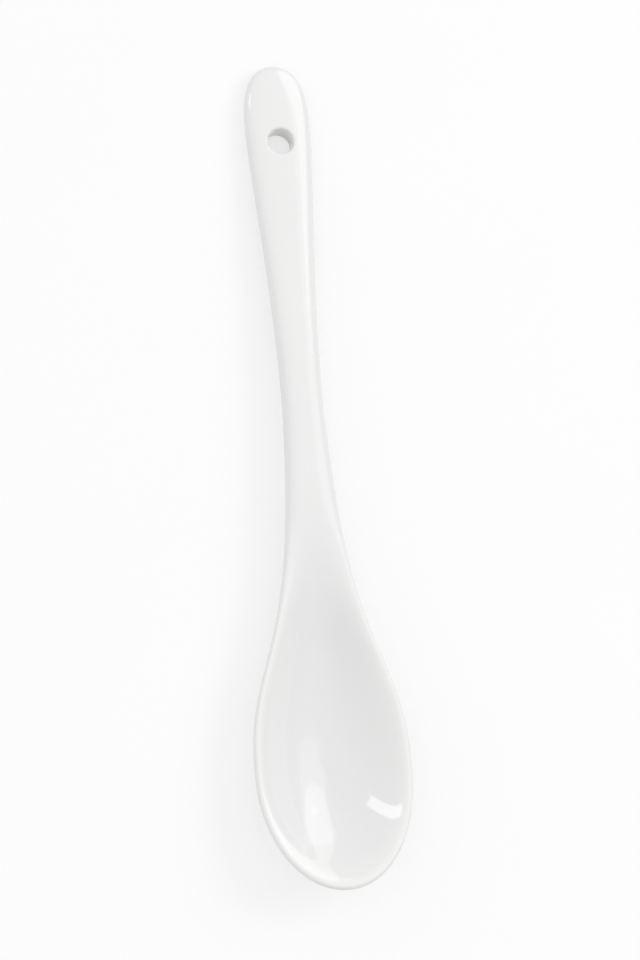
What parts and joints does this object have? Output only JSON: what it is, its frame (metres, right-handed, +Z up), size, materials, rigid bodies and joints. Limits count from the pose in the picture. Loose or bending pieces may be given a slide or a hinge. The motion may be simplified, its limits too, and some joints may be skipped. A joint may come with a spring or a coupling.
{
  "type": "tasting spoon",
  "caption": "White glazed porcelain tasting spoon with an oval bowl, a slim waisted handle and a round hanging hole near the handle's rounded end.",
  "frame": {"origin": "on the table under the middle of the spoon's box, with the spoon lying on its bowl and its handle end", "axes": "+X along the spoon from the bowl tip to the handle end, +Y across it, +Z up out of the open bowl"},
  "size_m": [0.14, 0.0264, 0.0123],
  "materials": {
    "bare_porcelain": "matt fired porcelain",
    "white_glaze": "gloss"
  },
  "bodies": {
    "root": {"porcelain_body": "bare_porcelain", "glaze_coat": "white_glaze"}
  },
  "joints": []
}
